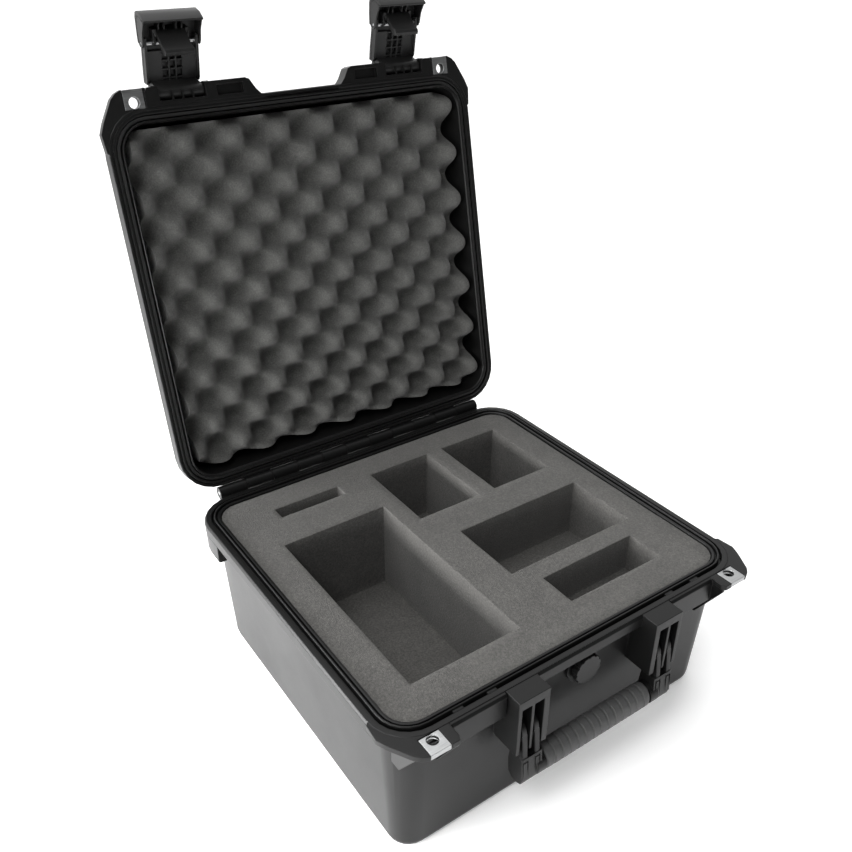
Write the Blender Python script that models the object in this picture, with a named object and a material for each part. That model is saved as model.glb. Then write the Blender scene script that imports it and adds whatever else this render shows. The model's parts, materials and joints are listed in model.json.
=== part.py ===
"""Drone carrying case: a moulded hard case with a foam insert, shown open.

Millimetres inside this file, metres in the finished meshes. +X is the case's right
seen from its front, -Y is the front, +Z is up. The origin is the centre of the flat
bottom. Lid and latch shapes are written down shut, then swung open in one step.
"""
import math

import bmesh
import bpy
from mathutils import Matrix, Vector

MM = 0.001

# --- the foam outline that every rim line is offset from ---
FOAM_HALF_X = 178.3
FOAM_HALF_Y = 165.6
FOAM_CORNER = 21.0

# --- the lid's own foam sheet ---
LID_FOAM_HALF_X = 174.6
LID_FOAM_HALF_Y = 162.3
LID_FOAM_Y = -1.9
LID_FOAM_CORNER = 13.0

# --- heights, base bottom at zero ---
FOAM_TOP_Z = 150.5
PAD_TOP_Z = 24.6
LID_TOP_Z = 204.0

# --- hinges ---
HINGE_Y = 189.4
HINGE_Z = 153.2
HINGE_HALF = 163.6
HINGE_PIECES = 11
KNUCKLE_R = 6.5
HINGE_PIN_R = 2.0
LID_OPEN_DEG = 101.8

LATCH_X = 118.5
LATCH_Y = -192.0
LATCH_Z = 162.0
LATCH_OPEN_DEG = 68.0
LATCH_HALF = 25.0
LATCH_PIN_R = 1.5

BUTTON_Y = -205.0
BUTTON_Z = 122.0
BUTTON_HALF = 27.0
BUTTON_PIN_R = 1.25

HANDLE_Y = -185.0
HANDLE_Z = 112.0
HANDLE_PIN_R = 2.5
GRIP_Y = -193.5
GRIP_Z = 69.0
GRIP_HALF = 60.0

# --- hasp plates at the front corners ---
HASP_X = 163.6
HASP_Y = -186.8
HASP_BACK_Y = -181.4
HASP_HALF = 9.0
HASP_HOLE_R = 4.9
BASE_EAR_Z = (147.1, 152.0)
LID_EAR_Z = (152.8, 160.6)

VALVE_Z = 122.0

# name: x range, y range, depth below the foam's top face
POCKETS = {
    "drone": (-146.2, -36.1, -132.3, 78.4, 96.0),
    "cable": (-127.7, -55.9, 119.6, 135.2, 42.0),
    "battery_left": (-16.3, 56.1, 40.6, 134.4, 78.0),
    "battery_right": (76.0, 148.4, 40.6, 134.4, 78.0),
    "controller": (3.3, 150.7, -74.9, 1.7, 62.0),
    "propeller": (22.8, 132.4, -132.8, -95.7, 40.0),
}

CLEAR = 0.3
SIDES = {"left": -1.0, "right": 1.0}


# ------------------------------------------------------------------ solids
def object_from_bmesh(name, bm):
    """A new object from a bmesh held in millimetres."""
    bmesh.ops.recalc_face_normals(bm, faces=bm.faces)
    mesh = bpy.data.meshes.new(name)
    bm.to_mesh(mesh)
    bm.free()
    item = bpy.data.objects.new(name, mesh)
    bpy.context.scene.collection.objects.link(item)
    return item


def round_rect(half_x, half_y, radius, z, steps=6):
    """Points of a rounded rectangle, counter-clockwise from the front right corner."""
    points = []
    corners = ((1, -1, -90), (1, 1, 0), (-1, 1, 90), (-1, -1, 180))
    for sx, sy, start in corners:
        cx = sx * (half_x - radius)
        cy = sy * (half_y - radius)
        for i in range(steps + 1):
            a = math.radians(start + 90.0 * i / steps)
            points.append((cx + radius * math.cos(a), cy + radius * math.sin(a), z))
    return points


def rim(offset, z):
    """The foam outline grown by an offset, at height z."""
    return round_rect(FOAM_HALF_X + offset, FOAM_HALF_Y + offset, FOAM_CORNER + offset, z)


def loft(name, loops, ring=False):
    """Skin a list of equal loops; ring joins the last loop to the first."""
    bm = bmesh.new()
    rows = [[bm.verts.new(p) for p in loop] for loop in loops]
    count = len(rows[0])
    pairs = list(zip(rows, rows[1:]))
    if ring:
        pairs.append((rows[-1], rows[0]))
    for low, high in pairs:
        for i in range(count):
            j = (i + 1) % count
            bm.faces.new((low[i], low[j], high[j], high[i]))
    if not ring:
        bm.faces.new(rows[0])
        bm.faces.new(rows[-1])
    return object_from_bmesh(name, bm)


def prism(name, outline, low, high, axis=2):
    """Push a flat outline from low to high along an axis (0 x, 1 y, 2 z)."""
    def place(u, v, w):
        if axis == 0:
            return (w, u, v)
        if axis == 1:
            return (u, w, v)
        return (u, v, w)
    loops = [[place(u, v, w) for u, v in outline] for w in (low, high)]
    return loft(name, loops)


def box(name, x0, x1, y0, y1, z0, z1):
    outline = [(x0, y0), (x1, y0), (x1, y1), (x0, y1)]
    return prism(name, outline, z0, z1)


def rod(name, radius, x0, x1, y, z, sides=24):
    """A round bar along X."""
    outline = []
    for i in range(sides):
        a = 2.0 * math.pi * i / sides
        outline.append((y + radius * math.cos(a), z + radius * math.sin(a)))
    return prism(name, outline, x0, x1, axis=0)


def disc_y(name, radius, x, z, y0, y1, sides=32):
    """A round bar along Y."""
    outline = []
    for i in range(sides):
        a = 2.0 * math.pi * i / sides
        outline.append((x + radius * math.cos(a), z + radius * math.sin(a)))
    return prism(name, outline, y0, y1, axis=1)


def disc_z(name, radius, x, y, z0, z1, sides=32):
    outline = []
    for i in range(sides):
        a = 2.0 * math.pi * i / sides
        outline.append((x + radius * math.cos(a), y + radius * math.sin(a)))
    return prism(name, outline, z0, z1)


def carve(name, first, adds=(), cuts=()):
    """First solid plus the adds, minus the cuts, as one plain mesh."""
    helpers = list(adds) + list(cuts)
    for index, helper in enumerate(helpers):
        step = first.modifiers.new("step_%d" % index, 'BOOLEAN')
        step.operation = 'UNION' if index < len(adds) else 'DIFFERENCE'
        step.solver = 'EXACT'
        step.object = helper
    graph = bpy.context.evaluated_depsgraph_get()
    mesh = bpy.data.meshes.new_from_object(first.evaluated_get(graph))
    bm = bmesh.new()
    bm.from_mesh(mesh)
    bmesh.ops.remove_doubles(bm, verts=bm.verts, dist=0.0005)
    bmesh.ops.dissolve_degenerate(bm, edges=bm.edges, dist=0.0005)
    bpy.data.meshes.remove(mesh)
    for helper in helpers:
        bpy.data.objects.remove(helper)
    bpy.data.objects.remove(first)
    item = object_from_bmesh(name, bm)
    item.name = name
    return item


def mirror_x(points, side):
    """Outline points for one side; side is -1 or 1."""
    return [(side * u, v) for u, v in points]


# ------------------------------------------------------------------ poses
def turn_x(pivot_y, pivot_z, degrees):
    """Turn about an axis along X; positive lifts the front edge up and back."""
    there = Matrix.Translation((0.0, pivot_y, pivot_z))
    back = Matrix.Translation((0.0, -pivot_y, -pivot_z))
    return there @ Matrix.Rotation(math.radians(-degrees), 4, 'X') @ back


LID_TURN = turn_x(HINGE_Y, HINGE_Z, LID_OPEN_DEG)
LATCH_TURN = LID_TURN @ turn_x(LATCH_Y, LATCH_Z, LATCH_OPEN_DEG)
STILL = Matrix.Identity(4)


def finish(item, turn, pivot, finish_spec):
    """Swing the mesh to its open place, put its origin on its pivot, give it a material."""
    item.data.transform(turn)
    origin = turn @ Vector(pivot)
    item.data.transform(Matrix.Translation(-origin))
    item.data.transform(Matrix.Scale(MM, 4))
    item.location = origin * MM
    label, colour, metallic, roughness = finish_spec
    material = bpy.data.materials.new(item.name + "_" + label)
    material.use_nodes = True
    shader = material.node_tree.nodes["Principled BSDF"]
    shader.inputs["Base Color"].default_value = (*colour, 1.0)
    shader.inputs["Metallic"].default_value = metallic
    shader.inputs["Roughness"].default_value = roughness
    item.data.materials.append(material)
    return item


MOULDED = ("moulded_black", (0.022, 0.022, 0.023), 0.0, 0.55)
FOAM = ("cut_foam", (0.16, 0.155, 0.145), 0.0, 1.0)
LID_FOAM = ("convoluted_foam", (0.065, 0.065, 0.063), 0.0, 1.0)
RUBBER = ("rubber", (0.015, 0.015, 0.015), 0.0, 0.8)
STEEL = ("steel", (0.55, 0.55, 0.56), 1.0, 0.3)
GRIP = ("soft_grip", (0.03, 0.03, 0.03), 0.0, 0.75)

ORIGIN = (0.0, 0.0, 0.0)
LID_PIVOT = (0.0, HINGE_Y, HINGE_Z)


# ------------------------------------------------------------------ shared details
def ear_outline(side, inner_end, front_y):
    """Corner ear: an arc inside the rim, then out round the corner to the front."""
    cx = FOAM_HALF_X - FOAM_CORNER
    cy = FOAM_HALF_Y - FOAM_CORNER
    radius = FOAM_CORNER + 12.5
    points = [(inner_end, -cy - radius)]
    for i in range(7):
        a = math.radians(-90.0 + 15.0 * i)
        points.append((cx + radius * math.cos(a), -cy + radius * math.sin(a)))
    points += [(196.4, -148.0), (197.8, -164.0), (194.0, -173.0), (183.5, -191.5),
               (179.0, front_y + 2.6), (173.5, front_y)]
    points.append((inner_end + 2.6, front_y))
    points.append((inner_end, front_y + 4.0))
    return mirror_x(points, side)


def hasp_cuts(side, z0, z1):
    """Recess for the folded plate round the ear and the padlock hole through it."""
    x0, x1 = sorted((side * (HASP_X - HASP_HALF - CLEAR), side * (HASP_X + HASP_HALF + CLEAR)))
    back = HASP_BACK_Y + 0.4
    return [
        box("cut", x0, x1, -204.0, back, z1 - 1.6, z1 + 5.0),
        box("cut", x0, x1, -204.0, back, z0 - 5.0, z0 + 1.6),
        box("cut", x0, x1, -204.0, -196.2, z0 - 4.0, z1 + 4.0),
        disc_z("cut", HASP_HOLE_R + 0.4, side * HASP_X, HASP_Y, z0 - 6.0, z1 + 6.0),
    ]


def hasp_plate(name, side, z0, z1):
    """The folded steel plate: top leg, front web and bottom leg with one hole."""
    x0, x1 = sorted((side * (HASP_X - HASP_HALF), side * (HASP_X + HASP_HALF)))
    body = box("plate", x0, x1, -198.1, HASP_BACK_Y, z0 + 0.1, z1 - 0.1)
    gap = box("gap", x0 - 2.0, x1 + 2.0, -196.5, HASP_BACK_Y + 5.0, z0 + 1.4, z1 - 1.4)
    hole = disc_z("hole", HASP_HOLE_R, side * HASP_X, HASP_Y, z0 - 2.0, z1 + 2.0)
    return carve(name, body, cuts=[gap, hole])


def knuckles(odd):
    """Hinge barrels of one half with their webs; returns adds."""
    adds = []
    pitch = 2.0 * HINGE_HALF / HINGE_PIECES
    for index in range(HINGE_PIECES):
        if index % 2 != odd:
            continue
        x0 = -HINGE_HALF + pitch * index + 0.25
        x1 = x0 + pitch - 0.5
        adds.append(rod("barrel", KNUCKLE_R, x0, x1, HINGE_Y, HINGE_Z))
        if odd:
            web = [(177.5, HINGE_Z), (HINGE_Y + 0.4, HINGE_Z + 0.4), (HINGE_Y + 4.2, HINGE_Z + 4.8),
                   (HINGE_Y, HINGE_Z + 6.3), (181.0, 163.5), (177.5, 163.5)]
        else:
            web = [(177.5, HINGE_Z - 3.6), (HINGE_Y - 0.6, HINGE_Z - 0.6), (HINGE_Y + 4.4, HINGE_Z - 4.6),
                   (HINGE_Y, HINGE_Z - 6.3), (181.0, 141.5), (177.5, 141.5)]
        adds.append(prism("web", web, x0 + 0.15, x1 - 0.15, axis=0))
    return adds


# ------------------------------------------------------------------ base
def base_shell():
    outer = []
    for i in range(4):
        a = math.radians(30.0 * i)
        outer.append((-8.5 + 8.0 * math.sin(a), 8.0 - 8.0 * math.cos(a)))
    outer += [(6.0, 139.0), (15.8, 139.3), (17.0, 140.5), (17.0, 149.8), (15.3, 152.2),
              (10.3, 152.2), (10.0, 151.8), (10.0, 147.0), (7.5, 147.0), (7.5, 152.9),
              (7.1, 153.3), (6.1, 153.3), (5.7, 152.9), (5.7, 149.0), (3.9, 149.0),
              (3.9, 151.7), (3.5, 152.1), (1.4, 152.1), (1.0, 151.7)]
    inner = [(-5.3, 12.0), (-6.2, 7.6), (-9.2, 5.0), (-12.0, 4.6)]
    shell = loft("base_shell", [rim(o, z) for o, z in outer + inner])

    adds = knuckles(0)
    cuts = [rod("cut", HINGE_PIN_R + CLEAR, -HINGE_HALF - 5.0, HINGE_HALF + 5.0, HINGE_Y, HINGE_Z)]

    collar = loft("collar", [rim(15.9, 139.8), rim(16.6, 138.8), rim(16.6, 121.0), rim(15.0, 119.4)])
    hollow = loft("hollow", [rim(3.4, 100.0), rim(3.4, 150.0)])
    front = box("front", -300.0, 300.0, -300.0, 126.0, 90.0, 160.0)
    adds.append(carve("collar", collar, cuts=[hollow, front]))

    for side in SIDES.values():
        adds.append(prism("ear", ear_outline(side, 144.8, -198.4), *BASE_EAR_Z))
        cuts += hasp_cuts(side, *BASE_EAR_Z)

        gusset = [(-170.0, 141.0), (-178.0, 148.6), (-196.4, 148.6), (-196.4, 144.0), (-172.0, 105.0),
                  (-169.6, 105.0)]
        x0, x1 = sorted((side * 145.4, side * 148.6))
        adds.append(prism("gusset", gusset, x0, x1, axis=0))
        outer_gusset = [(-158.0, 141.0), (-166.0, 148.6), (-190.0, 148.6), (-190.0, 144.0),
                        (-168.0, 112.0), (-158.0, 112.0)]
        x0, x1 = sorted((side * 178.4, side * 181.2))
        adds.append(prism("gusset", outer_gusset, x0, x1, axis=0))

        strike = [(-169.0, 128.4), (-185.0, 128.4), (-185.0, 149.4), (-183.4, 151.8), (-177.4, 151.8),
                  (-177.4, 141.0), (-169.0, 141.0)]
        x0, x1 = sorted((side * 92.0, side * 145.9))
        adds.append(prism("strike", strike, x0, x1, axis=0))
        for near, far in ((94.5, 103.5), (126.5, 136.0)):
            x0, x1 = sorted((side * near, side * far))
            adds.append(box("tab", x0, x1, -176.2, -172.8, 146.0, 151.9))

        mount = [(-168.0, 94.0), (-198.0, 94.0), (-198.0, 151.9), (-176.4, 151.9), (-176.4, 146.4),
                 (-168.0, 146.4)]
        x0, x1 = sorted((side * 59.0, side * 90.8))
        adds.append(prism("mount", mount, x0, x1, axis=0))
        for near, far in ((64.8, 74.6), (77.4, 87.2)):
            x0, x1 = sorted((side * near, side * far))
            cuts.append(box("cut", x0, x1, -205.0, -172.4, 88.0, 143.0))
        x0, x1 = sorted((side * 59.9, side * 89.9))
        cuts.append(rod("cut", HANDLE_PIN_R + CLEAR, x0, x1, HANDLE_Y, HANDLE_Z))

    adds.append(disc_y("boss", 17.0, 0.0, VALVE_Z, -174.0, -168.0))
    cuts.append(disc_y("cut", 6.5, 0.0, VALVE_Z, -190.0, -150.0))
    cuts.append(disc_y("cut", 14.0, 0.0, VALVE_Z, -166.1, -150.0))
    return carve("base_shell", shell, adds, cuts)


def foam_offset(z):
    """How far the foam's side sits from the outline at height z."""
    return -5.9 + (z - 12.0) * (0.3 + 5.9) / (FOAM_TOP_Z - 12.0)


def base_foam_pad():
    top = rim(foam_offset(PAD_TOP_Z), PAD_TOP_Z)
    return loft("base_foam_pad", [rim(-9.8, 5.2), rim(foam_offset(12.0), 11.0), top])


def base_foam_insert():
    low = PAD_TOP_Z + 0.3
    body = loft("insert", [rim(foam_offset(low), low), rim(foam_offset(FOAM_TOP_Z), FOAM_TOP_Z)])
    cuts = []
    for x0, x1, y0, y1, depth in POCKETS.values():
        cuts.append(box("cut", x0, x1, y0, y1, FOAM_TOP_Z - depth, FOAM_TOP_Z + 10.0))
    cuts.append(disc_y("cut", 16.0, 0.0, VALVE_Z, -180.0, -157.0))
    return carve("base_foam_insert", body, cuts=cuts)


def valve_cap():
    cap = disc_y("cap", 13.8, 0.0, VALVE_Z, -181.6, -175.6, sides=48)
    stem = disc_y("stem", 6.1, 0.0, VALVE_Z, -178.0, -158.6)
    notches = []
    for i in range(12):
        a = 2.0 * math.pi * i / 12
        x = 14.2 * math.cos(a)
        z = VALVE_Z + 14.2 * math.sin(a)
        notches.append(disc_y("cut", 1.5, x, z, -184.0, -173.0, sides=10))
    bore = disc_y("cut", 3.6, 0.0, VALVE_Z, -179.0, -150.0)
    return carve("valve_cap", cap, [stem], notches + [bore])


def valve_seal():
    ring = disc_y("seal", 12.0, 0.0, VALVE_Z, -175.4, -174.2)
    return carve("valve_seal", ring, cuts=[disc_y("cut", 6.5, 0.0, VALVE_Z, -180.0, -170.0)])


def valve_nut():
    nut = disc_y("nut", 12.6, 0.0, VALVE_Z, -165.9, -160.4, sides=6)
    return carve("valve_nut", nut, cuts=[disc_y("cut", 6.4, 0.0, VALVE_Z, -170.0, -150.0)])


# ------------------------------------------------------------------ handle
def handle_frame():
    def arm(side):
        adds = []
        for near, far in ((67.2, 72.2), (79.8, 84.8)):
            x0, x1 = sorted((side * near, side * far))
            adds.append(rod("disc", 12.2, x0, x1, HANDLE_Y, HANDLE_Z, sides=32))
            plate = [(HANDLE_Y - 12.0, HANDLE_Z), (HANDLE_Y + 4.0, HANDLE_Z), (HANDLE_Y + 1.0, 84.0),
                     (HANDLE_Y - 16.0, 84.0)]
            adds.append(prism("plate", plate, x0 + 0.05, x1 - 0.05, axis=0))
        block = [(-202.4, 66.0), (-200.5, 60.0), (-195.0, 57.6), (-189.0, 58.4), (-184.6, 63.0),
                 (-183.6, 76.0), (-185.0, 88.6), (-200.4, 88.6)]
        x0, x1 = sorted((side * 64.6, side * 86.0))
        adds.append(prism("block", block, x0, x1, axis=0))
        x0, x1 = sorted((side * (GRIP_HALF + 0.4), side * 70.0))
        adds.append(rod("shoulder", 10.6, x0, x1, GRIP_Y, GRIP_Z, sides=24))
        return adds
    core = rod("core", 6.0, -66.0, 66.0, GRIP_Y, GRIP_Z, sides=20)
    adds = arm(-1.0) + arm(1.0)
    cuts = [rod("cut", HANDLE_PIN_R + CLEAR, -95.0, -62.0, HANDLE_Y, HANDLE_Z),
            rod("cut", HANDLE_PIN_R + CLEAR, 62.0, 95.0, HANDLE_Y, HANDLE_Z)]
    return carve("handle_frame", core, adds, cuts)


def handle_grip():
    """Ribbed sleeve: its radius dips at each groove."""
    loops = []
    grooves = 13
    stops = [(-GRIP_HALF, 10.6)]
    pitch = (2.0 * GRIP_HALF - 8.0) / grooves
    for i in range(grooves):
        x = -GRIP_HALF + 4.0 + pitch * (i + 0.5)
        stops += [(x - 1.3, 12.2), (x - 0.7, 11.2), (x + 0.7, 11.2), (x + 1.3, 12.2)]
    stops.insert(1, (-GRIP_HALF + 1.5, 12.0))
    stops += [(GRIP_HALF - 1.5, 12.0), (GRIP_HALF, 10.6)]
    stops += [(GRIP_HALF, 6.4), (-GRIP_HALF, 6.4)]
    for x, radius in stops:
        loop = []
        for i in range(24):
            a = 2.0 * math.pi * i / 24
            depth = radius * (0.86 if radius > 7.0 else 1.0)
            loop.append((x, GRIP_Y + depth * math.cos(a), GRIP_Z + radius * math.sin(a)))
        loops.append(loop)
    return loft("handle_grip", loops, ring=True)


def handle_pin(side):
    x0, x1 = sorted((side * 60.2, side * 89.6))
    return rod("handle_pin", HANDLE_PIN_R, x0, x1, HANDLE_Y, HANDLE_Z)


# ------------------------------------------------------------------ lid
def lid_shell():
    outer = []
    for i in range(4):
        a = math.radians(30.0 * i)
        outer.append((-3.6 + 8.0 * math.sin(a), LID_TOP_Z - 8.0 + 8.0 * math.cos(a)))
    outer += [(5.8, 168.0), (15.8, 167.4), (17.0, 166.2), (17.0, 153.4), (16.4, 152.6),
              (14.2, 152.6), (13.9, 153.8), (12.9, 153.8), (12.6, 152.6), (10.4, 152.6),
              (10.1, 153.1), (10.0, 160.0), (5.4, 160.0), (5.4, 150.5), (5.1, 150.1),
              (4.5, 150.1), (4.2, 150.4), (4.2, 152.7), (3.2, 153.4), (3.2, 156.0), (2.6, 160.0)]
    inner = [(0.4, 192.0), (-1.0, 197.0), (-5.0, 200.0)]
    shell = loft("lid_shell", [rim(o, z) for o, z in outer + inner])

    adds = knuckles(1)
    cuts = [rod("cut", HINGE_PIN_R + CLEAR, -HINGE_HALF - 5.0, HINGE_HALF + 5.0, HINGE_Y, HINGE_Z)]

    for x in (-108.0, -54.0, 0.0, 54.0, 108.0):
        adds.append(box("rib", x - 17.0, x + 17.0, -138.0, 138.0, LID_TOP_Z - 2.0, LID_TOP_Z + 2.6))

    for side in SIDES.values():
        adds.append(prism("ear", ear_outline(side, 150.0, -198.4), *LID_EAR_Z))
        cuts += hasp_cuts(side, *LID_EAR_Z)

        shelf = [(153.0, -177.9), (153.0, -194.0), (150.4, -198.2), (57.0, -198.2), (53.0, -196.6),
                 (47.6, -187.8), (43.5, -183.4), (39.0, -181.0), (39.0, -177.9)]
        adds.append(prism("shelf", mirror_x(shelf, side), 152.7, 166.6))
        bay = (96.7, 140.3, -204.0, -184.7, 175.0)
        pockets = ((60.0, 86.0, -194.6, -185.4, 157.2), bay)
        for near, far, y0, y1, top in pockets:
            x0, x1 = sorted((side * near, side * far))
            cuts.append(box("cut", x0, x1, y0, y1, 140.0, top))

        lug = [(-177.0, 153.2), (-197.6, 153.2), (-199.0, 158.0), (-198.6, 164.4), (-195.0, 168.6),
               (-189.0, 170.4), (-180.0, 176.0), (-169.6, 177.0), (-169.6, 162.0), (-177.0, 162.0)]
        for near, far in ((91.4, 96.4), (140.6, 145.6)):
            x0, x1 = sorted((side * near, side * far))
            adds.append(prism("lug", lug, x0, x1, axis=0))
        x0, x1 = sorted((side * 92.4, side * 144.6))
        cuts.append(rod("cut", LATCH_PIN_R + CLEAR, x0, x1, LATCH_Y, LATCH_Z, sides=16))
    return carve("lid_shell", shell, adds, cuts)


def lid_gasket():
    return loft("lid_gasket", [rim(6.0, 154.4), rim(6.6, 153.9), rim(9.0, 153.9), rim(9.6, 154.4),
                               rim(9.6, 159.6), rim(6.0, 159.6)], ring=True)


def lid_foam():
    """Plain block; it is cut a little short of the rim, more so on the hinge side."""
    outline = []
    for inset, z in ((0.0, 152.8), (0.6, 190.0), (2.6, 196.0), (5.6, 199.4)):
        loop = round_rect(LID_FOAM_HALF_X - inset, LID_FOAM_HALF_Y - inset, LID_FOAM_CORNER, z)
        outline.append([(x, y + LID_FOAM_Y, height) for x, y, height in loop])
    return loft("lid_foam", outline)


# ------------------------------------------------------------------ latches, drawn shut
def latch_body(side):
    c = side * LATCH_X
    half = LATCH_HALF
    skin = [(-207.6, 125.2), (-210.6, 125.2), (-211.4, 146.0), (-210.6, 164.0), (-206.6, 170.0),
            (-200.0, 171.6), (-193.0, 168.3), (-192.0, 164.0), (-199.0, 163.6), (-204.0, 162.4),
            (-207.6, 157.0)]
    body = prism("skin", skin, c - half, c + half, axis=0)
    adds = [rod("knuckle", 6.0, c - 21.4, c + 21.4, LATCH_Y, LATCH_Z, sides=20)]
    web = [(-193.0, 156.2), (-192.0, 167.6), (-200.0, 170.0), (-206.0, 168.0), (-208.6, 162.0),
           (-208.6, 152.0), (-204.0, 154.8)]
    adds.append(prism("web", web, c - 21.4, c + 21.4, axis=0))
    for x0, x1 in ((c - half + 0.05, c - half + 2.6), (c + half - 2.6, c + half - 0.05)):
        rail = [(-208.6, 117.2), (-202.0, 117.2), (-202.0, 154.0), (-206.0, 162.0), (-208.6, 162.0)]
        adds.append(prism("rail", rail, x0, x1, axis=0))
    for x0, x1 in ((c - half + 2.0, c - 9.0), (c + 9.0, c + half - 2.0)):
        adds.append(box("panel", x0, x1, -208.6, -204.4, 129.0, 157.0))
    for x in (-3.2, 3.2):
        adds.append(box("rib", c + x - 0.8, c + x + 0.8, -208.6, -203.4, 129.4, 156.6))
    for z in (129.4, 137.0, 144.6, 152.2):
        adds.append(box("rib", c - 10.0, c + 10.0, -208.6, -203.9, z, z + 1.6))
    cuts = [rod("cut", LATCH_PIN_R + CLEAR, c - 40.0, c + 40.0, LATCH_Y, LATCH_Z, sides=16),
            rod("cut", BUTTON_PIN_R + CLEAR, c - 40.0, c + 40.0, BUTTON_Y, BUTTON_Z, sides=16)]
    for x in (c - half - 0.01, c + half + 0.01):
        cuts.append(box("cut", x - 3.4, x + 3.4, -230.0, -180.0, 157.6, 186.0))
    return carve("latch_body", body, adds, cuts)


def latch_button(side):
    """Press lever at the free end: curved lip, cheeks, ribs and the catch bar."""
    c = side * LATCH_X
    half = BUTTON_HALF
    skin = [(-211.8, 122.9), (-213.4, 114.0), (-214.6, 103.0), (-213.4, 98.2), (-209.6, 96.6),
            (-201.0, 97.4), (-193.4, 101.0), (-193.8, 102.8), (-201.6, 100.2), (-209.4, 100.2),
            (-211.2, 104.0), (-211.0, 114.0), (-209.4, 122.9)]
    body = prism("skin", skin, c - half, c + half, axis=0)
    adds = []
    cheek = [(-211.0, 122.0), (-212.6, 102.0), (-209.0, 98.4), (-195.0, 101.4), (-199.4, 112.0),
             (-200.4, 122.0), (-202.4, 125.6), (-207.4, 125.6)]
    for x0, x1 in ((c - half + 0.05, c - half + 1.65), (c + half - 1.65, c + half - 0.05)):
        adds.append(prism("cheek", cheek, x0, x1, axis=0))
    rib = [(-212.0, 116.0), (-212.4, 102.0), (-209.0, 98.6), (-199.0, 100.0), (-203.0, 108.0),
           (-203.4, 116.0)]
    for x in (-10.6, -5.4, 5.4, 10.6):
        adds.append(prism("rib", rib, c + x - 0.7, c + x + 0.7, axis=0))
    catch = [(-211.4, 110.0), (-203.0, 111.4), (-190.0, 120.6), (-184.4, 122.4), (-182.8, 124.4),
             (-183.4, 127.4), (-187.0, 127.9), (-190.0, 126.6), (-203.0, 117.0), (-211.2, 115.0)]
    adds.append(prism("catch", catch, c - 13.4, c + 13.4, axis=0))
    lug = [(-203.0, 110.6), (-211.8, 110.6), (-210.4, 122.6), (-207.4, 123.0), (-206.6, 124.6),
           (-203.4, 124.8), (-202.0, 122.0)]
    for x in (-15.0, 15.0):
        adds.append(prism("lug", lug, c + x - 1.6, c + x + 1.6, axis=0))
    cuts = [rod("cut", BUTTON_PIN_R + CLEAR, c - half - 2.0, c + half + 2.0, BUTTON_Y, BUTTON_Z, sides=16)]
    return carve("latch_button", body, adds, cuts)


def button_spring(side):
    """Torsion spring round the button's pin."""
    c = side * LATCH_X
    wire = 0.45
    radius = 2.4
    turns = 5
    steps = turns * 14
    loops = []
    for i in range(steps + 1):
        a = 2.0 * math.pi * turns * i / steps
        x = c - 6.0 + 12.0 * i / steps
        centre = Vector((x, BUTTON_Y + radius * math.cos(a), BUTTON_Z + radius * math.sin(a)))
        out = Vector((0.0, math.cos(a), math.sin(a)))
        across = Vector((1.0, 0.0, 0.0))
        loop = []
        for k in range(6):
            b = 2.0 * math.pi * k / 6
            loop.append(tuple(centre + out * wire * math.cos(b) + across * wire * math.sin(b)))
        loops.append(loop)
    return loft("button_spring", loops)


# ------------------------------------------------------------------ build everything
def build():
    for item in list(bpy.data.objects):
        bpy.data.objects.remove(item)

    finish(base_shell(), STILL, ORIGIN, MOULDED)
    finish(base_foam_pad(), STILL, ORIGIN, FOAM)
    finish(base_foam_insert(), STILL, ORIGIN, FOAM)
    finish(rod("hinge_pin", HINGE_PIN_R, -HINGE_HALF + 0.4, HINGE_HALF - 0.4, HINGE_Y, HINGE_Z),
           STILL, LID_PIVOT, STEEL)
    finish(valve_cap(), STILL, (0.0, -178.0, VALVE_Z), MOULDED)
    finish(valve_seal(), STILL, (0.0, -175.0, VALVE_Z), RUBBER)
    finish(valve_nut(), STILL, (0.0, -163.0, VALVE_Z), MOULDED)

    finish(handle_frame(), STILL, (0.0, HANDLE_Y, HANDLE_Z), MOULDED)
    finish(handle_grip(), STILL, (0.0, HANDLE_Y, HANDLE_Z), GRIP)

    finish(lid_shell(), LID_TURN, LID_PIVOT, MOULDED)
    finish(lid_gasket(), LID_TURN, LID_PIVOT, RUBBER)
    finish(lid_foam(), LID_TURN, LID_PIVOT, LID_FOAM)

    for name, side in SIDES.items():
        latch_pivot = (side * LATCH_X, LATCH_Y, LATCH_Z)
        button_pivot = (side * LATCH_X, BUTTON_Y, BUTTON_Z)
        base_hole = (side * HASP_X, HASP_Y, BASE_EAR_Z[1])
        lid_hole = (side * HASP_X, HASP_Y, LID_EAR_Z[0])
        made = [
            (hasp_plate("hasp_plate_base", side, *BASE_EAR_Z), STILL, base_hole, STEEL),
            (hasp_plate("hasp_plate_lid", side, *LID_EAR_Z), LID_TURN, lid_hole, STEEL),
            (handle_pin(side), STILL, (side * 75.0, HANDLE_Y, HANDLE_Z), STEEL),
            (rod("latch_pin", LATCH_PIN_R, side * LATCH_X - 25.8, side * LATCH_X + 25.8, LATCH_Y, LATCH_Z,
                 sides=16), LID_TURN, latch_pivot, STEEL),
            (latch_body(side), LATCH_TURN, latch_pivot, MOULDED),
            (rod("button_pin", BUTTON_PIN_R, side * LATCH_X - 26.6, side * LATCH_X + 26.6, BUTTON_Y, BUTTON_Z,
                 sides=16), LATCH_TURN, button_pivot, STEEL),
            (button_spring(side), LATCH_TURN, button_pivot, STEEL),
            (latch_button(side), LATCH_TURN, button_pivot, MOULDED),
        ]
        for item, turn, pivot, spec in made:
            item.name = item.name.split(".")[0] + "_" + name
            item.data.name = item.name
            finish(item, turn, pivot, spec)


build()
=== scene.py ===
# %% [markdown]
# # A moulded carrying case for a folding drone
# The case is already drawn as solids that fit and move. This lesson gives it its looks: cut foam,
# egg-crate foam, moulded plastic with broken edges, rubber, and pressed steel.
# Everything is placed from the solids' own boxes and joints, so nothing is fitted by eye.

import json
import math

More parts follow.
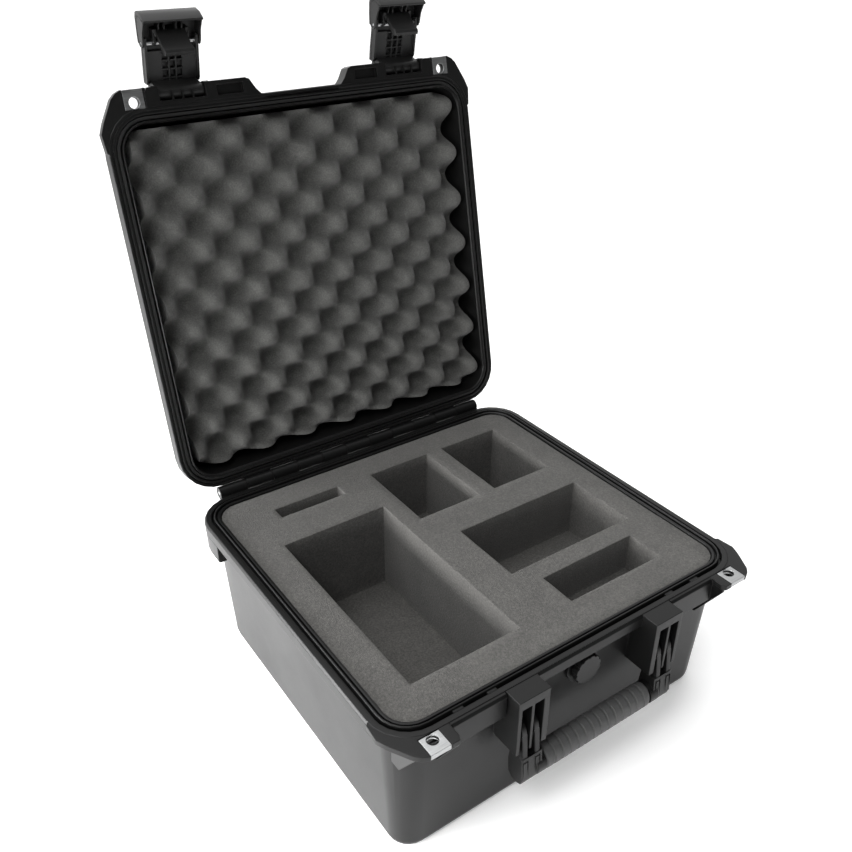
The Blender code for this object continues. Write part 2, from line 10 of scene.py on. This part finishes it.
import bmesh
import bpy
from mathutils import Matrix, Vector, noise


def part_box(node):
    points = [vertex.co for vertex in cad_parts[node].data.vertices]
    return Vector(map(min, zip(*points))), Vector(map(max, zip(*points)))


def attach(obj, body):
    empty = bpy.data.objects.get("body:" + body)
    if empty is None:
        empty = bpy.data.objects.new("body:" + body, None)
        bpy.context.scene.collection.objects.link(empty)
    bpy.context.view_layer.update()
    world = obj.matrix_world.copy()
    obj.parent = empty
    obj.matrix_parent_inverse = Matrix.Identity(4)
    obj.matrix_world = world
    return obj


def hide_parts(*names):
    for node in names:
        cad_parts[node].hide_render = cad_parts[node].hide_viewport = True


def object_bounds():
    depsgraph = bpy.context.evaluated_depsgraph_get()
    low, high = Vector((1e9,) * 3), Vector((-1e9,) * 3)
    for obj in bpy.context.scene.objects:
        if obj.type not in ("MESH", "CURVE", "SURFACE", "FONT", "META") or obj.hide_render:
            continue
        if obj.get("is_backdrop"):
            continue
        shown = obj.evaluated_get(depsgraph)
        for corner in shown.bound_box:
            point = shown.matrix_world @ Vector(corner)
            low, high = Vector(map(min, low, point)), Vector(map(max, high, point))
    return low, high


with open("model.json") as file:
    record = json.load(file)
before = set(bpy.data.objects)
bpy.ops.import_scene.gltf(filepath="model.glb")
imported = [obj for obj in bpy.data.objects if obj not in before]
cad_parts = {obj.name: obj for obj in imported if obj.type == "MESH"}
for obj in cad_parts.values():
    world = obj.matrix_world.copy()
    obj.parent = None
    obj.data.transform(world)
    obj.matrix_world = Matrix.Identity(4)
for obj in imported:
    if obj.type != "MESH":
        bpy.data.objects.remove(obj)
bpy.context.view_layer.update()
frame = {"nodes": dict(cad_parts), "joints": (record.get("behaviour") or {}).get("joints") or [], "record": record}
MM = 0.001

# %% [markdown]
# ## Where the lid is
# The case stands open, and its lid is drawn where it rests. Its details are easier to think of shut, as
# they lie when the case is closed, so each is made in shut coordinates and then swung open by the same
# turn as the hinge. The hinge's place and travel come from the joints.

# %% The turn that swings the lid open
joint = {item["name"]: item for item in frame["joints"]}


def turn_about(point, degrees):
    """A turn about an axis along X through a point in metres; positive lifts the front edge."""
    there = Matrix.Translation(point)
    return there @ Matrix.Rotation(math.radians(-degrees), 4, 'X') @ there.inverted()


lid_hinge = Vector(joint["lid_hinge"]["pos_m"])
lid_turn = turn_about(lid_hinge, joint["lid_hinge"]["range_deg"][1])
latch_pivot = lid_turn.inverted() @ Vector(joint["latch_hinge_left"]["pos_m"])
print("latch pivot when shut, mm:", [round(v / MM, 1) for v in latch_pivot])

# %% [markdown]
# ## Small helpers
# A colour is written as the hex value that a designer would pick, and the shader wants linear light, so
# one function converts it. One more function adds a shader node with its settings and its links.

# %% Colour and node helpers


def linear(hex_code):
    """An sRGB hex colour as linear RGBA."""
    parts = [int(hex_code[i:i + 2], 16) / 255.0 for i in (1, 3, 5)]
    return [p / 12.92 if p <= 0.04045 else ((p + 0.055) / 1.055) ** 2.4 for p in parts] + [1.0]


def add_node(tree, kind, inputs=None, **settings):
    """Add one node. An input is a plain value, or the output socket that feeds it."""
    made = tree.nodes.new(kind)
    for name, value in settings.items():
        setattr(made, name, value)
    for name, value in (inputs or {}).items():
        if isinstance(value, bpy.types.NodeSocket):
            tree.links.new(value, made.inputs[name])
        else:
            made.inputs[name].default_value = value
    return made


def new_material(name, **surface):
    """A Principled material with its uniform values set on its own sockets."""
    material = bpy.data.materials.new(name)
    material.use_nodes = True
    tree = material.node_tree
    shader = tree.nodes["Principled BSDF"]
    for label, value in surface.items():
        shader.inputs[label.replace("_", " ")].default_value = value
    place = add_node(tree, "ShaderNodeTexCoord").outputs["Object"]
    return material, tree, shader, place


def set_ramp(ramp_node, *stops):
    """Give a colour ramp its stops, each a position and a hex colour."""
    ramp = ramp_node.color_ramp
    while len(ramp.elements) < len(stops):
        ramp.elements.new(0.5)
    for element, (position, hex_code) in zip(ramp.elements, stops):
        element.position = position
        element.color = linear(hex_code)


print("mid grey #808080 in linear light:", round(linear("#808080")[0], 3))

# %% [markdown]
# ## Black moulded copolymer
# The shells, latches and handle are injection-moulded polypropylene copolymer. The mould is
# spark-eroded, so the plastic has a fine pebbled grain that breaks up reflections, and a soft sheen
# at a low angle. A grain of a third of a millimetre is too fine to show, so it is drawn at about one.
# The nylon levers have a slightly finer grain, and the grip's soft skin is paler and duller.

# %% Moulded polypropylene


def moulded_plastic(name, dark, light, roughness, grain_mm=1.1, grain_depth=0.05):
    """Pebbled plastic whose colour and gloss drift slowly; the grain's size and depth are in mm."""
    material, tree, shader, place = new_material(name, IOR=1.49)
    shader.inputs["Specular IOR Level"].default_value = 0.2
    drift = add_node(tree, "ShaderNodeTexNoise", {"Vector": place, "Scale": 9.0, "Detail": 4.0,
                                                  "Roughness": 0.6})
    tint = add_node(tree, "ShaderNodeValToRGB", {"Fac": drift.outputs["Fac"]})
    set_ramp(tint, (0.3, dark), (0.72, light))
    tree.links.new(tint.outputs["Color"], shader.inputs["Base Color"])
    grain = add_node(tree, "ShaderNodeTexNoise", {"Vector": place, "Scale": 1000.0 / grain_mm,
                                                  "Detail": 2.0, "Roughness": 0.55})
    gloss = add_node(tree, "ShaderNodeMapRange", {"Value": drift.outputs["Fac"], "From Min": 0.3,
                                                  "From Max": 0.7, "To Min": roughness - 0.035,
                                                  "To Max": roughness + 0.035})
    tree.links.new(gloss.outputs["Result"], shader.inputs["Roughness"])
    bump = add_node(tree, "ShaderNodeBump", {"Height": grain.outputs["Fac"], "Strength": 0.35,
                                             "Distance": grain_depth * MM})
    tree.links.new(bump.outputs["Normal"], shader.inputs["Normal"])
    return material


black_shell = moulded_plastic("black_polypropylene_spark_eroded", "#0e0e0e", "#121212", 0.38)
black_lever = moulded_plastic("black_nylon_moulded", "#1b1b1b", "#212121", 0.38, 0.8, 0.04)
soft_grip = moulded_plastic("black_soft_elastomer_grip", "#454545", "#505050", 0.5, 0.7, 0.06)
print("plastics:", black_shell.name, black_lever.name, soft_grip.name)

# %% [markdown]
# ## Foams
# The base holds closed-cell polyethylene foam: a matt warm grey with fine cells that are sliced open
# by the knife, so tiny pits cover it. The lid holds open-cell polyurethane, softer and less warm,
# with a finer pore and a faint mottle from the rollers that squeeze it as it is cut. In both, the
# colour follows the fine pattern that also raises the bump: painted shade darkens its pits and painted
# light brightens its crests. The slow mottle, the foam's own tone, is mixed in at under a fifth.

# %% Cut polyethylene and convoluted polyurethane


def foam(name, pit_shade, body, crest_light, cell_mm, depth_mm, mottle_mm):
    """Matt foam with open cells; painted shade darkens the fine pattern's pits and painted light
    brightens its crests, and the mottle is a slower pattern of the foam's own tone mixed in.
    """
    material, tree, shader, place = new_material(name, Roughness=0.96, IOR=1.45)
    shader.inputs["Specular IOR Level"].default_value = 0.22
    cells = add_node(tree, "ShaderNodeTexVoronoi", {"Vector": place, "Scale": 1000.0 / cell_mm,
                                                    "Randomness": 1.0}, feature='F1')
    fine = add_node(tree, "ShaderNodeTexNoise", {"Vector": place, "Scale": 1000.0 / (cell_mm * 1.5),
                                                 "Detail": 4.0, "Roughness": 0.75})
    mottle = add_node(tree, "ShaderNodeTexNoise", {"Vector": place, "Scale": 1000.0 / mottle_mm,
                                                   "Detail": 4.0, "Roughness": 0.62})
    # painted shade and painted light: the fine noise that lifts the bump also darkens its pits and brightens its
    # crests in the colour, with the foam's own mottle mixed in
    shade_light_and_mottle = add_node(tree, "ShaderNodeMix", {"Factor": 0.18, "A": fine.outputs["Fac"],
                                             "B": mottle.outputs["Fac"]})
    tint = add_node(tree, "ShaderNodeValToRGB", {"Fac": shade_light_and_mottle.outputs["Result"]})
    set_ramp(tint, (0.34, pit_shade), (0.5, body), (0.66, crest_light))
    tree.links.new(tint.outputs["Color"], shader.inputs["Base Color"])
    rough = add_node(tree, "ShaderNodeMath", {0: cells.outputs["Distance"], 1: fine.outputs["Fac"]},
                     operation='ADD')
    bump = add_node(tree, "ShaderNodeBump", {"Height": rough.outputs[0], "Strength": 0.55,
                                             "Distance": depth_mm * MM})
    tree.links.new(bump.outputs["Normal"], shader.inputs["Normal"])
    shader.inputs["Sheen Weight"].default_value = 0.12
    shader.inputs["Sheen Roughness"].default_value = 0.6
    return material


# in each foam the first colour is painted shade for the pits and the last is painted light for the crests
cut_foam = foam("grey_polyethylene_foam_cut", "#373635", "#474644", "#585754", 1.2, 0.4, 24.0)
lid_foam_finish = foam("charcoal_polyurethane_foam_convoluted", "#3a3a39", "#494947", "#595957",
                       1.0, 0.30, 13.0)
print("foams:", cut_foam.name, lid_foam_finish.name)

# %% [markdown]
# ## Rubber and steel
# The gasket is extruded EPDM rubber with a smooth skin. The padlock plates are pressed stainless sheet,
# finished on a belt, so fine lines run one way and stretch every highlight across them.

# %% EPDM and belt-finished stainless


def rubber(name, hex_code):
    """Smooth rubber whose gloss drifts a little."""
    material, tree, shader, place = new_material(name, IOR=1.5)
    drift = add_node(tree, "ShaderNodeTexNoise", {"Vector": place, "Scale": 160.0, "Detail": 3.0})
    tint = add_node(tree, "ShaderNodeValToRGB", {"Fac": drift.outputs["Fac"]})
    set_ramp(tint, (0.35, hex_code), (0.7, "#161616"))
    tree.links.new(tint.outputs["Color"], shader.inputs["Base Color"])
    gloss = add_node(tree, "ShaderNodeMapRange", {"Value": drift.outputs["Fac"], "To Min": 0.5,
                                                  "To Max": 0.66})
    tree.links.new(gloss.outputs["Result"], shader.inputs["Roughness"])
    return material


def belt_steel(name, dark, light, roughness):
    """Steel with fine lines along X, which also roughen it in stripes."""
    material, tree, shader, place = new_material(name, Metallic=1.0)
    along = add_node(tree, "ShaderNodeMapping", {"Vector": place, "Scale": (60.0, 2600.0, 2600.0)})
    lines = add_node(tree, "ShaderNodeTexNoise", {"Vector": along.outputs["Vector"], "Scale": 1.0,
                                                  "Detail": 2.0})
    tint = add_node(tree, "ShaderNodeValToRGB", {"Fac": lines.outputs["Fac"]})
    set_ramp(tint, (0.3, dark), (0.7, light))
    tree.links.new(tint.outputs["Color"], shader.inputs["Base Color"])
    gloss = add_node(tree, "ShaderNodeMapRange", {"Value": lines.outputs["Fac"], "From Min": 0.3,
                                                  "From Max": 0.7, "To Min": roughness - 0.05,
                                                  "To Max": roughness + 0.07})
    tree.links.new(gloss.outputs["Result"], shader.inputs["Roughness"])
    bump = add_node(tree, "ShaderNodeBump", {"Height": lines.outputs["Fac"], "Strength": 0.1,
                                             "Distance": 0.02 * MM})
    tree.links.new(bump.outputs["Normal"], shader.inputs["Normal"])
    return material


gasket_rubber = rubber("black_epdm_gasket", "#0c0c0c")
plate_steel = belt_steel("stainless_sheet_belt_finished", "#8f9091", "#a8a9a9", 0.34)
pin_steel = belt_steel("stainless_rod_drawn", "#9c9d9e", "#b6b7b8", 0.32)
print("rubber and steel:", gasket_rubber.name, plate_steel.name, pin_steel.name)

# %% [markdown]
# ## Broken edges on the rigid pieces
# Nothing moulded or pressed has a knife edge: the mould's corners are eased by a few tenths of a
# millimetre, and that is where a black case catches its highlights. Each solid is loose triangles, so
# a copy is merged, every sharp edge gets a small round bevel, and the normals are weighted by face
# size, which keeps the flat faces flat beside their bevels.

# %% Eased copies of the rigid solids
SMOOTH_BELOW = math.radians(32.0)
MERGE_MM = 0.004


def eased_copy(node_name, width_mm, material):
    """A copy of a solid with its sharp edges rounded, standing for that solid."""
    bm = bmesh.new()
    bm.from_mesh(frame["nodes"][node_name].data)
    bmesh.ops.remove_doubles(bm, verts=bm.verts, dist=MERGE_MM * MM)
    sharp = [edge for edge in bm.edges if edge.is_manifold and edge.calc_face_angle() > SMOOTH_BELOW]
    if width_mm > 0.0:
        bmesh.ops.bevel(bm, geom=sharp, offset=width_mm * MM, offset_type='OFFSET', affect='EDGES',
                        segments=2, profile=0.5, clamp_overlap=False, material=-1)
    piece = finished_piece(node_name + "_moulding", bm, material)
    even = piece.modifiers.new("flat_faces_stay_flat", 'WEIGHTED_NORMAL')
    even.keep_sharp = True
    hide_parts(node_name)
    return piece


def finished_piece(name, bm, material, smooth_below=SMOOTH_BELOW):
    """Turn a bmesh in metres into a smooth-shaded object with one material."""
    mesh = bpy.data.meshes.new(name)
    bm.to_mesh(mesh)
    bm.free()
    mesh.shade_smooth()
    mesh.set_sharp_from_angle(angle=smooth_below)
    mesh.materials.append(material)
    piece = bpy.data.objects.new(name, mesh)
    bpy.context.scene.collection.objects.link(piece)
    return piece


body_of_node = {}
for body_name, members in frame["record"]["behaviour"]["bodies"].items():
    for member in members:
        body_of_node[member] = body_name

rigid_finishes = {
    "base_shell": (0.45, black_shell, "moulded_black"),
    "lid_shell": (0.45, black_shell, "moulded_black"),
    "valve_cap": (0.35, black_lever, "moulded_black"),
    "valve_nut": (0.35, black_lever, "moulded_black"),
    "valve_seal": (0.25, gasket_rubber, "rubber"),
    "handle_frame": (0.6, black_shell, "moulded_black"),
    "handle_grip": (0.3, soft_grip, "soft_grip"),
    "lid_gasket": (0.3, gasket_rubber, "rubber"),
    "hinge_pin": (0.3, pin_steel, "steel"),
}
for side in ("left", "right"):
    rigid_finishes["latch_body_" + side] = (0.4, black_lever, "moulded_black")
    rigid_finishes["latch_button_" + side] = (0.4, black_lever, "moulded_black")
    rigid_finishes["hasp_plate_base_" + side] = (0.35, plate_steel, "steel")
    rigid_finishes["hasp_plate_lid_" + side] = (0.35, plate_steel, "steel")
    rigid_finishes["button_spring_" + side] = (0.0, pin_steel, "steel")
    for pin in ("handle_pin_", "latch_pin_", "button_pin_"):
        rigid_finishes[pin + side] = (0.25, pin_steel, "steel")

for node_name, (width_mm, material, slot_name) in rigid_finishes.items():
    piece = eased_copy(node_name, width_mm, material)
    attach(piece, body_of_node[node_name])
print("eased", len(rigid_finishes), "rigid pieces")

# %% [markdown]
# ## Ribs behind the latch barrels
# The shelf that carries each latch has an open bay for its barrel. A thin lip closes the gap behind the
# barrel, and three short ribs stiffen it. They are made shut, one box at a time, and then swung with
# the lid.

# %% Lip and ribs in the latch bays


def shut_box(bm, low, high):
    """Add a box given by its low and high corners in shut millimetres."""
    corners = [Vector(low), Vector(high)]
    middle = (corners[0] + corners[1]) / 2.0
    size = corners[1] - corners[0]
    place = Matrix.Translation(middle) @ Matrix.Diagonal((*size, 1.0))
    bmesh.ops.create_cube(bm, size=1.0, matrix=place)


BAY_X = (97.2, 139.8)
LIP_Y = (-185.92, -184.55)
BAY_Z = (153.2, 163.2)
RIB_X = (109.0, 118.5, 128.0)
RIB_HALF, RIB_REACH, RIB_TALL = 0.8, 7.5, 1.6
for side, sign in (("left", -1.0), ("right", 1.0)):
    near, far = sorted(sign * x for x in BAY_X)
    bm = bmesh.new()
    shut_box(bm, (near, LIP_Y[0], BAY_Z[0]), (far, LIP_Y[1], BAY_Z[1]))
    for x in RIB_X:
        low = (sign * x - RIB_HALF, LIP_Y[0] - RIB_REACH, BAY_Z[0])
        high = (sign * x + RIB_HALF, LIP_Y[1], BAY_Z[0] + RIB_TALL)
        shut_box(bm, low, high)
    bmesh.ops.transform(bm, matrix=lid_turn @ Matrix.Scale(MM, 4), verts=bm.verts)
    ribs = finished_piece("latch_bay_ribs_" + side, bm, black_shell)
    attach(ribs, "lid")
    print(ribs.name, "has", len(ribs.data.polygons), "faces")

# %% [markdown]
# ## The egg-crate foam in the lid
# A flat sheet is squeezed between rollers with knobs and slit while it is squeezed, so it springs back
# as peaks and hollows in a chequerboard. One formula, the product of two cosines with its slopes
# steepened, has that shape: a fine grid is trimmed to the sheet's round corners, lifted by the formula,
# and given sides and a back.

# %% Convoluted foam
FOAM_HALF_X = 174.6
FOAM_FRONT_Y = -164.2
FOAM_BACK_Y = 160.4
FOAM_CORNER = 13.0
PEAK_Z = 152.7
FOAM_BACK_Z = 198.6
WAVE_X, WAVE_Y = 49.15, 48.85
PEAK_AT = (-1.5, 21.5)
HALF_HEIGHT = 14.0
STEEPER = 0.25
GRID = (156, 145)
UNEVEN_PATCH, UNEVEN_DEPTH, UNEVEN_BASE = 17.0, 0.7, 0.25
FOAM_SMOOTH_BELOW = math.radians(50.0)


def convoluted_height(x, y):
    """How far the foam's face lies behind the peaks' plane, in mm."""
    wave = math.cos(2.0 * math.pi * (x - PEAK_AT[0]) / WAVE_X)
    wave *= math.cos(2.0 * math.pi * (y - PEAK_AT[1]) / WAVE_Y)
    wave *= 1.0 + STEEPER - STEEPER * wave * wave
    uneven = noise.noise(Vector((x / UNEVEN_PATCH, y / UNEVEN_PATCH, 3.0)))
    return HALF_HEIGHT * (1.0 - wave) + UNEVEN_DEPTH * uneven + UNEVEN_BASE


def trim_corners(bm, half_x, low_y, high_y, radius, steps=5):
    """Cut a flat mesh to a rounded rectangle with straight cuts along each corner's arc."""
    for sx in (-1.0, 1.0):
        for sy, edge_y in ((-1.0, low_y), (1.0, high_y)):
            centre = Vector((sx * (half_x - radius), edge_y - sy * radius, 0.0))
            for i in range(steps):
                angle = math.radians(90.0 * (i + 0.5) / steps)
                out = Vector((sx * math.cos(angle), sy * math.sin(angle), 0.0))
                geom = bm.verts[:] + bm.edges[:] + bm.faces[:]
                bmesh.ops.bisect_plane(bm, geom=geom, dist=0.001, plane_co=centre + out * radius,
                                       plane_no=out, clear_outer=True)


bm = bmesh.new()
bmesh.ops.create_grid(bm, x_segments=GRID[0], y_segments=GRID[1], size=1.0)
middle_y = (FOAM_FRONT_Y + FOAM_BACK_Y) / 2.0
half_y = (FOAM_BACK_Y - FOAM_FRONT_Y) / 2.0
bmesh.ops.scale(bm, vec=(FOAM_HALF_X, half_y, 1.0), verts=bm.verts)
bmesh.ops.translate(bm, vec=(0.0, middle_y, 0.0), verts=bm.verts)
trim_corners(bm, FOAM_HALF_X, FOAM_FRONT_Y, FOAM_BACK_Y, FOAM_CORNER)
for vert in bm.verts:
    vert.co.z = PEAK_Z + convoluted_height(vert.co.x, vert.co.y)
rim_edges = [edge for edge in bm.edges if edge.is_boundary]
grown = bmesh.ops.extrude_edge_only(bm, edges=rim_edges)["geom"]
side_verts = [item for item in grown if isinstance(item, bmesh.types.BMVert)]
for vert in side_verts:
    vert.co.z = FOAM_BACK_Z
back_edges = [edge for edge in bm.edges if edge.is_boundary]
bmesh.ops.contextual_create(bm, geom=back_edges)
bmesh.ops.recalc_face_normals(bm, faces=bm.faces)
bmesh.ops.transform(bm, matrix=lid_turn @ Matrix.Scale(MM, 4), verts=bm.verts)
lid_foam = finished_piece("lid_foam_convoluted", bm, lid_foam_finish, FOAM_SMOOTH_BELOW)
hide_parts("lid_foam")
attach(lid_foam, "lid")
print("convoluted foam has", len(lid_foam.data.polygons), "faces")

# %% [markdown]
# ## The cut foam in the base
# The insert is cut with a long straight knife, so its pockets have upright walls and crisp edges that
# are eased by less than a millimetre, and its top is a skived face that is never quite flat. The solid's
# faces are sliced into small squares, so that they can carry that slight unevenness. The noise that
# moves them has offsets drawn at random, so it is given a seed, and the foam is the same each time.

# %% Cut foam insert and the pad under it
FOAM_EASE = 0.7
SLICE = 9.0
PATCH = 21.0
UNEVEN = 0.224
FLAT_WITHIN = math.radians(0.4)
TOP_BAND = 1.0
noise.seed_set(24)


def cut_foam_piece(node_name):
    """A copy of a foam solid with eased, slightly uneven faces, standing for that solid."""
    bm = bmesh.new()
    bm.from_mesh(frame["nodes"][node_name].data)
    bmesh.ops.scale(bm, vec=(1.0 / MM,) * 3, verts=bm.verts)
    bmesh.ops.remove_doubles(bm, verts=bm.verts, dist=MERGE_MM)
    bmesh.ops.dissolve_limit(bm, angle_limit=FLAT_WITHIN, verts=bm.verts, edges=bm.edges)
    sharp = [edge for edge in bm.edges if edge.is_manifold and edge.calc_face_angle() > SMOOTH_BELOW]
    bmesh.ops.bevel(bm, geom=sharp, offset=FOAM_EASE, offset_type='OFFSET', affect='EDGES',
                    segments=2, profile=0.5, clamp_overlap=False, material=-1)
    low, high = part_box(node_name)
    for axis in range(3):
        normal = Vector((0.0, 0.0, 0.0))
        normal[axis] = 1.0
        count = int((high[axis] - low[axis]) / MM / SLICE)
        for i in range(1, count):
            at = normal * (low[axis] / MM + i * SLICE)
            geom = bm.verts[:] + bm.edges[:] + bm.faces[:]
            bmesh.ops.bisect_plane(bm, geom=geom, dist=0.001, plane_co=at, plane_no=normal)
    for vert in bm.verts:
        shift = noise.noise_vector(vert.co / PATCH) * UNEVEN
        shift.z = min(shift.z, 0.0) if vert.co.z > high.z / MM - TOP_BAND else shift.z
        vert.co += shift
    bmesh.ops.scale(bm, vec=(MM, MM, MM), verts=bm.verts)
    piece = finished_piece(node_name + "_cut", bm, cut_foam)
    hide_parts(node_name)
    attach(piece, "base")
    return piece


for node_name in ("base_foam_insert", "base_foam_pad"):
    piece = cut_foam_piece(node_name)
    print(piece.name, "has", len(piece.data.polygons), "faces")

# %% [markdown]
# ## Floor, light and camera
# A white floor under a soft room suits a black case: the plastic shows only what it mirrors. The room
# is brightest at the back and fades towards the front, so the top faces shine and the front wall stays
# dark. One long low panel brightens the floor at the left, which the side wall mirrors, and two soft
# panels above draw the rims and the foam's peaks. The floor glows a little, so its shadow stays faint.

# %% Floor and world
bm = bmesh.new()
bmesh.ops.create_grid(bm, x_segments=1, y_segments=1, size=15.0)
mesh = bpy.data.meshes.new("floor")
bm.to_mesh(mesh)
bm.free()
floor = bpy.data.objects.new("floor", mesh)
bpy.context.scene.collection.objects.link(floor)
floor_finish, tree, shader, place = new_material("white_painted_floor", Roughness=0.9)
shader.inputs["Base Color"].default_value = linear("#f4f4f4")
shader.inputs["Emission Color"].default_value = linear("#ffffff")
shader.inputs["Emission Strength"].default_value = 0.25
mesh.materials.append(floor_finish)
floor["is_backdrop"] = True

world = bpy.data.worlds.new("pale_room")
bpy.context.scene.world = world
world.use_nodes = True
background = world.node_tree.nodes["Background"]
background.inputs["Color"].default_value = linear("#ffffff")
toward = add_node(world.node_tree, "ShaderNodeTexCoord").outputs["Generated"]
frontward = add_node(world.node_tree, "ShaderNodeVectorMath", {0: toward, 1: (0.35, -0.92, 0.18)},
                     operation='DOT_PRODUCT')
fade = add_node(world.node_tree, "ShaderNodeMapRange", {"Value": frontward.outputs["Value"],
                                                        "From Min": -0.3, "From Max": 0.9,
                                                        "To Min": 1.7, "To Max": 0.05})
world.node_tree.links.new(fade.outputs["Result"], background.inputs["Strength"])
bpy.context.scene.view_settings.view_transform = 'Standard'
print("floor and world:", floor.name, world.name)

# %% Studio panels


def panel(name, place, target, size, power, spread=180.0):
    """A soft rectangular light that faces a target point."""
    light = bpy.data.lights.new(name, 'AREA')
    light.shape = 'RECTANGLE'
    light.size, light.size_y = size
    light.energy = power
    light.spread = math.radians(spread)
    item = bpy.data.objects.new(name, light)
    item.location = place
    item.rotation_euler = (Vector(target) - Vector(place)).to_track_quat('-Z', 'Y').to_euler()
    bpy.context.scene.collection.objects.link(item)
    return item


low_left = panel("low_left_panel", (-0.95, 0.15, 0.22), (-0.3, 0.0, 0.03), (0.9, 0.25), 10.0, 100.0)
top = panel("top_panel", (-0.4, 0.9, 2.4), (0.0, 0.0, 0.1), (1.8, 1.8), 30.0)
rim = panel("rim_panel", (-0.9, -0.5, 1.5), (0.0, 0.0, 0.2), (0.5, 0.5), 9.0)
print("panels:", [item.name for item in (low_left, top, rim)])

# %% [markdown]
# ## The view
# The camera looks down at the front left corner, from a little under a metre away.

# %% Camera
CAMERA_AT = (-0.42491, -0.54908, 0.67840)
AZIMUTH, ELEVATION, ROLL = (math.radians(v) for v in (-35.0725, 30.5073, 0.2405))
back = Vector((math.sin(AZIMUTH) * math.cos(ELEVATION), -math.cos(AZIMUTH) * math.cos(ELEVATION),
               math.sin(ELEVATION)))
aim = (-back).to_track_quat('-Z', 'Y').to_matrix().to_4x4()
camera_data = bpy.data.cameras.new("camera")
camera_data.sensor_width = 36.0
camera_data.lens = 38.112
camera_data.clip_start = 0.01
camera = bpy.data.objects.new("camera", camera_data)
camera.matrix_world = Matrix.Translation(CAMERA_AT) @ aim @ Matrix.Rotation(ROLL, 4, 'Z')
bpy.context.scene.collection.objects.link(camera)
bpy.context.scene.camera = camera
print("camera", round((Vector(CAMERA_AT)).length, 3), "m from the case's foot")

low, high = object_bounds()
print("visual box in mm:", [round(v / MM, 1) for corner in (low, high) for v in corner])
